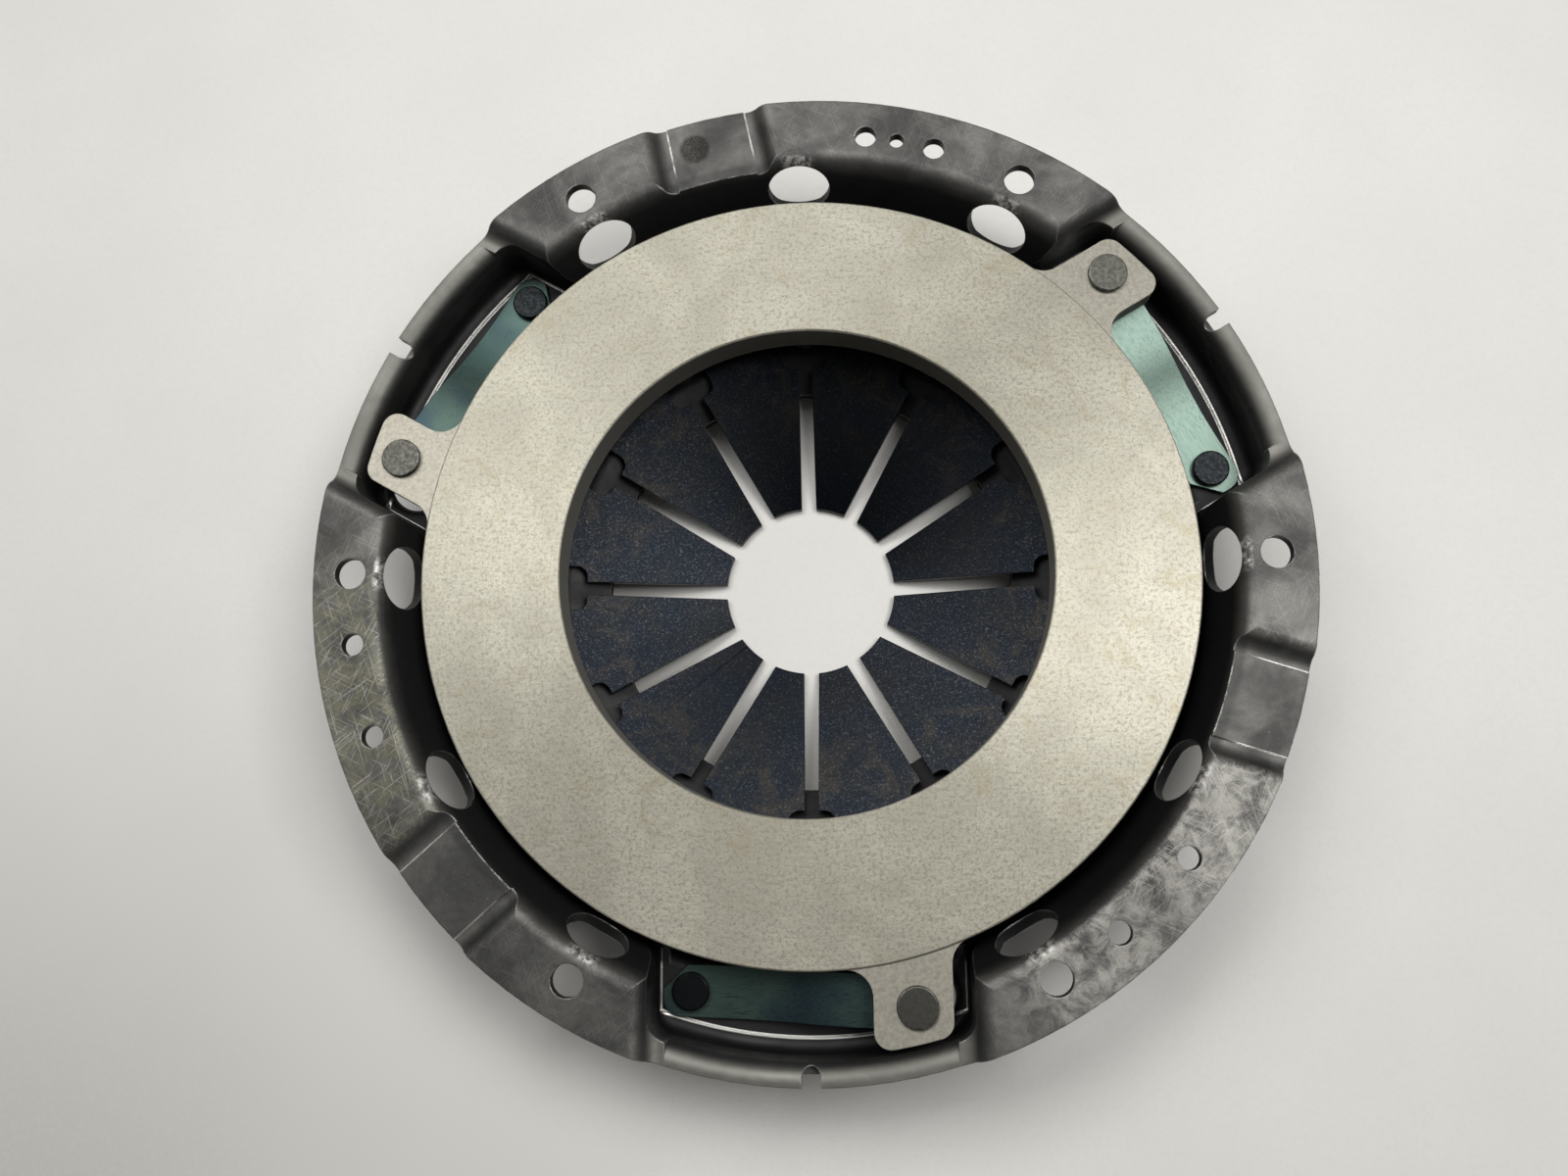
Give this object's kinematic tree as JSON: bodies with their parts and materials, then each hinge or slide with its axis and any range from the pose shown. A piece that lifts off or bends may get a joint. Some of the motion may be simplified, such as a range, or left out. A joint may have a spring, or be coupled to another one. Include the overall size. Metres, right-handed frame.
{
  "type": "clutch pressure plate",
  "caption": "Diaphragm-spring clutch cover: a pressed cover that bolts to a flywheel and carries a strap-hung cast pressure plate pushed by a fingered spring.",
  "frame": {"origin": "centre of the bolt circle, on the flange's mounting face", "axes": "+Z out of the mounting face towards the flywheel, +X through one bolt hole; shown in its free state"},
  "size_m": [0.2752, 0.2752, 0.0469],
  "materials": {
    "cover_steel": "satin dark pressed steel with worn bright edges",
    "plate_iron": "ground friction face, machined lugs",
    "spring_steel": "shot-peened blue-black spring steel",
    "ring_wire": "drawn wire",
    "fulcrum_rivet_steel": "dark phosphated steel",
    "strap_steel": "blue-green tempered strip",
    "cover_rivet_black": "black oxide",
    "lug_rivet_steel": "plain turned steel"
  },
  "bodies": {
    "cover": {"cover": "cover_steel", "diaphragm_spring": "spring_steel", "fulcrum_ring_plate_side": "ring_wire", "fulcrum_ring_cover_side": "ring_wire", "fulcrum_rivet_01": "fulcrum_rivet_steel", "fulcrum_rivet_02": "fulcrum_rivet_steel", "fulcrum_rivet_03": "fulcrum_rivet_steel", "fulcrum_rivet_04": "fulcrum_rivet_steel", "fulcrum_rivet_05": "fulcrum_rivet_steel", "fulcrum_rivet_06": "fulcrum_rivet_steel", "fulcrum_rivet_07": "fulcrum_rivet_steel", "fulcrum_rivet_08": "fulcrum_rivet_steel", "fulcrum_rivet_09": "fulcrum_rivet_steel", "fulcrum_rivet_10": "fulcrum_rivet_steel", "fulcrum_rivet_11": "fulcrum_rivet_steel", "fulcrum_rivet_12": "fulcrum_rivet_steel", "strap_1_leaf_1": "strap_steel", "strap_2_leaf_1": "strap_steel", "strap_3_leaf_1": "strap_steel", "strap_1_leaf_2": "strap_steel", "strap_2_leaf_2": "strap_steel", "strap_3_leaf_2": "strap_steel", "strap_1_leaf_3": "strap_steel", "strap_2_leaf_3": "strap_steel", "strap_3_leaf_3": "strap_steel", "strap_cover_rivet_1": "cover_rivet_black", "strap_cover_rivet_2": "cover_rivet_black", "strap_cover_rivet_3": "cover_rivet_black"},
    "pressure_plate": {"pressure_plate": "plate_iron", "strap_lug_rivet_1": "lug_rivet_steel", "strap_lug_rivet_2": "lug_rivet_steel", "strap_lug_rivet_3": "lug_rivet_steel"}
  },
  "joints": [
    {"name": "plate_slide", "type": "slide", "parent": "cover", "child": "pressure_plate", "axis": [0, 0, 1], "range_m": [-0.0039, 0], "stiffness_N_per_m": 100000, "springref_m": 0.002, "deforming": ["diaphragm_spring", "strap_1_leaf_1", "strap_2_leaf_1", "strap_3_leaf_1", "strap_1_leaf_2", "strap_2_leaf_2", "strap_3_leaf_2", "strap_1_leaf_3", "strap_2_leaf_3", "strap_3_leaf_3"]}
  ]
}
